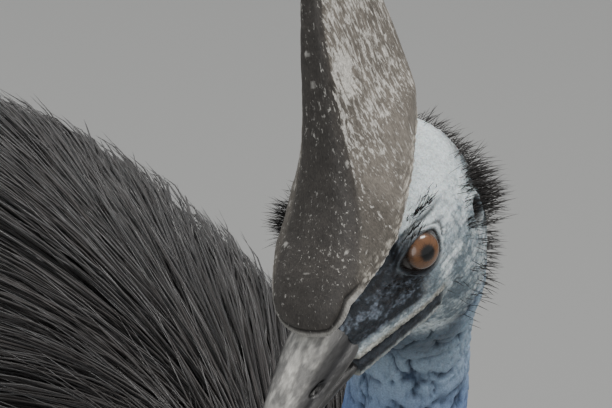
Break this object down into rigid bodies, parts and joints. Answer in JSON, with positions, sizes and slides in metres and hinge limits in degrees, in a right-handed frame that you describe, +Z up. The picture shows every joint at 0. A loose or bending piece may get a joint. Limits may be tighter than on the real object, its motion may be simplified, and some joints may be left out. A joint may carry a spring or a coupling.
{
  "type": "standing cassowary model",
  "caption": "Life-size still model of a standing cassowary, with a tall casque, bare folded neck, wattles and shaggy drooping plumage, its head turned to its right.",
  "frame": {"origin": "bottom centre of the whole bounding box, on the ground under the bird", "axes": "+Z up along the height, the bird's body faces -Y, its left side is +X"},
  "size_m": [0.5288, 1.1162, 1.5269],
  "materials": {
    "plumage": "long loose hair-like feathers with a dull sheen",
    "face_skin": "bare finely wrinkled skin",
    "neck_skin": "bare skin in soft worm-like folds",
    "wattle_skin": "bare folded skin",
    "casque_horn": "worn horn with pale scratches",
    "bill_horn": "satin horn",
    "eye": "wet and glossy",
    "leg_scale": "large overlapping scales",
    "claw_horn": "polished horn",
    "quill_horn": "glossy black quills"
  },
  "bodies": {
    "root": {"head": "face_skin", "casque": "casque_horn", "bill_upper": "bill_horn", "bill_lower": "bill_horn", "eye_left": "eye", "eye_right": "eye", "neck_upper": "neck_skin", "neck_middle": "neck_skin", "neck_lower": "neck_skin", "wattle_left": "wattle_skin", "wattle_right": "wattle_skin", "torso": "plumage", "tail": "plumage", "wing_left": "quill_horn", "wing_right": "quill_horn", "thigh_left": "plumage", "shank_left": "leg_scale", "foot_left": "leg_scale", "toe_inner_left": "leg_scale", "claw_inner_left": "claw_horn", "toe_middle_left": "leg_scale", "claw_middle_left": "claw_horn", "toe_outer_left": "leg_scale", "claw_outer_left": "claw_horn", "thigh_right": "plumage", "shank_right": "leg_scale", "foot_right": "leg_scale", "toe_inner_right": "leg_scale", "claw_inner_right": "claw_horn", "toe_middle_right": "leg_scale", "claw_middle_right": "claw_horn", "toe_outer_right": "leg_scale", "claw_outer_right": "claw_horn"}
  },
  "joints": []
}
